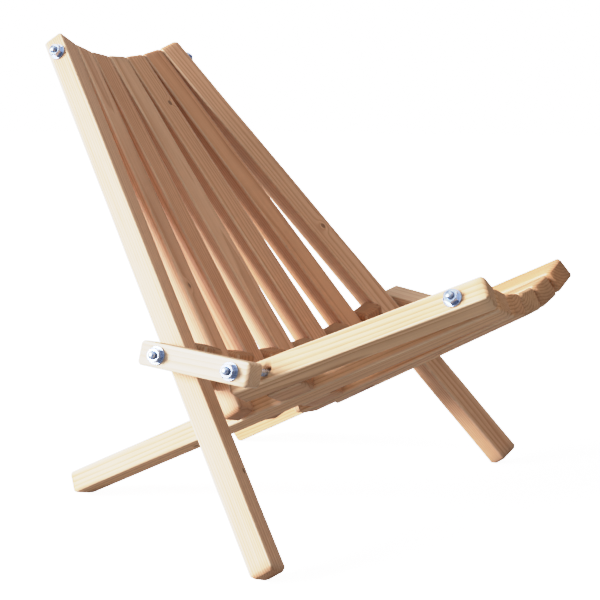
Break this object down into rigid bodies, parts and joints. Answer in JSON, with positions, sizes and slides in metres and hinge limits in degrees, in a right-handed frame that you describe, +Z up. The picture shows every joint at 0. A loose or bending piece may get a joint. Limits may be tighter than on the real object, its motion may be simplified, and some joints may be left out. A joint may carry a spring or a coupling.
{
  "type": "folding stick chair",
  "caption": "Low folding beach chair: fans of wooden slats strung on bent threaded rods, with a curved reclined back, a curved seat, crossing legs and side links.",
  "frame": {"origin": "on the floor under the middle of the chair's bounding box", "axes": "+Z up, the sitter faces -Y, +X is the sitter's left"},
  "size_m": [0.6816, 0.741, 0.6768],
  "materials": {
    "back_wood": "planed pine, lightly oiled",
    "seat_wood": "planed pine, lightly oiled",
    "link_wood": "planed pine, lightly oiled",
    "spacer_wood": "planed pine, lightly oiled",
    "threaded_rod": "bright zinc plate",
    "zinc_hardware": "bright zinc plate"
  },
  "bodies": {
    "seat": {"front_rod": "threaded_rod", "front_rod_nuts": "zinc_hardware", "front_rod_washers": "zinc_hardware", "left_rear_leg": "seat_wood", "right_rear_leg": "seat_wood", "seat_pivot_nuts": "zinc_hardware", "seat_pivot_rod": "threaded_rod", "seat_pivot_washers": "zinc_hardware", "seat_slat_1": "seat_wood", "seat_slat_3": "seat_wood", "seat_slat_4": "seat_wood", "seat_slat_6": "seat_wood", "seat_spacer_1": "spacer_wood", "seat_spacer_2": "spacer_wood", "seat_spacer_3": "spacer_wood", "seat_spacer_4": "spacer_wood", "seat_spacer_5": "spacer_wood"},
    "links": {"left_side_link": "link_wood", "right_side_link": "link_wood"},
    "back": {"back_pivot_nuts": "zinc_hardware", "back_pivot_rod": "threaded_rod", "back_pivot_washers": "zinc_hardware", "back_slat_2": "back_wood", "back_slat_3": "back_wood", "back_slat_4": "back_wood", "back_slat_5": "back_wood", "back_slat_6": "back_wood", "back_spacer_1": "spacer_wood", "back_spacer_2": "spacer_wood", "back_spacer_3": "spacer_wood", "back_spacer_4": "spacer_wood", "back_spacer_5": "spacer_wood", "back_spacer_6": "spacer_wood", "left_front_leg": "back_wood", "right_front_leg": "back_wood", "top_rod": "threaded_rod", "top_rod_nuts": "zinc_hardware", "top_rod_washers": "zinc_hardware"}
  },
  "joints": [
    {"name": "link_swing", "type": "hinge", "parent": "seat", "child": "links", "pos_m": [0, -0.10326, 0.2415], "axis": [1, 0, 0], "range_deg": [0, 15]},
    {"name": "back_fold", "type": "hinge", "parent": "links", "child": "back", "pos_m": [0, -0.00063, 0.25261], "axis": [1, 0, 0], "range_deg": [0, 94]}
  ]
}
